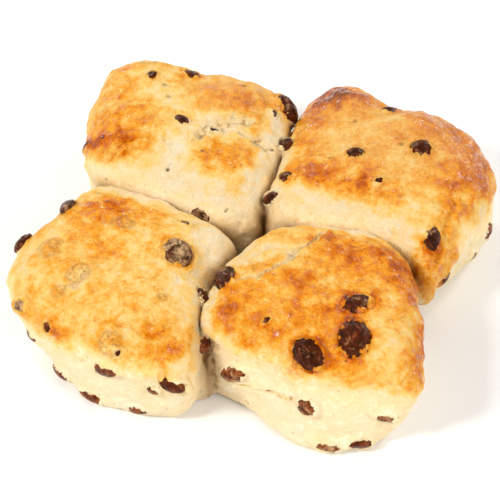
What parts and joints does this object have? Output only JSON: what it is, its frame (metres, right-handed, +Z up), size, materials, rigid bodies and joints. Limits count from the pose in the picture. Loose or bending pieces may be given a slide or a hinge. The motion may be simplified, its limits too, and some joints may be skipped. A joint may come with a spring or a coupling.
{
  "type": "scone batch",
  "caption": "Square fruit scones baked side by side into one batch, golden crust on top, pale soft sides, raisins showing all round, flat underside.",
  "frame": {"origin": "under the middle of the batch, on the plane of its flat underside", "axes": "+Z up, +X to the right and -Y towards the viewer, along the seams between the scones"},
  "size_m": [0.1576, 0.1532, 0.0442],
  "materials": {
    "baked_dough": "baked scone dough: egg-washed golden crust on top, pale floury sides",
    "raisin": "dark brown raisin skin, wrinkled, with a slight gloss"
  },
  "bodies": {
    "root": {"dough": "baked_dough", "raisin_back_left_1": "raisin", "raisin_back_left_2": "raisin", "raisin_back_left_3": "raisin", "raisin_back_left_4": "raisin", "raisin_back_left_5": "raisin", "raisin_back_left_6": "raisin", "raisin_back_left_7": "raisin", "raisin_back_left_8": "raisin", "raisin_back_left_9": "raisin", "raisin_back_left_10": "raisin", "raisin_back_left_11": "raisin", "raisin_back_right_1": "raisin", "raisin_back_right_2": "raisin", "raisin_back_right_3": "raisin", "raisin_back_right_4": "raisin", "raisin_back_right_5": "raisin", "raisin_back_right_6": "raisin", "raisin_back_right_7": "raisin", "raisin_back_right_8": "raisin", "raisin_back_right_9": "raisin", "raisin_back_right_10": "raisin", "raisin_back_right_11": "raisin", "raisin_back_right_12": "raisin", "raisin_back_right_13": "raisin", "raisin_front_left_1": "raisin", "raisin_front_left_2": "raisin", "raisin_front_left_3": "raisin", "raisin_front_left_4": "raisin", "raisin_front_left_5": "raisin", "raisin_front_left_6": "raisin", "raisin_front_left_7": "raisin", "raisin_front_left_8": "raisin", "raisin_front_left_9": "raisin", "raisin_front_left_10": "raisin", "raisin_front_left_11": "raisin", "raisin_front_left_12": "raisin", "raisin_front_left_13": "raisin", "raisin_front_left_14": "raisin", "raisin_front_left_15": "raisin", "raisin_front_left_16": "raisin", "raisin_front_left_17": "raisin", "raisin_front_right_1": "raisin", "raisin_front_right_2": "raisin", "raisin_front_right_3": "raisin", "raisin_front_right_4": "raisin", "raisin_front_right_5": "raisin", "raisin_front_right_6": "raisin", "raisin_front_right_7": "raisin", "raisin_front_right_8": "raisin", "raisin_front_right_9": "raisin", "raisin_front_right_10": "raisin", "raisin_front_right_11": "raisin"}
  },
  "joints": []
}
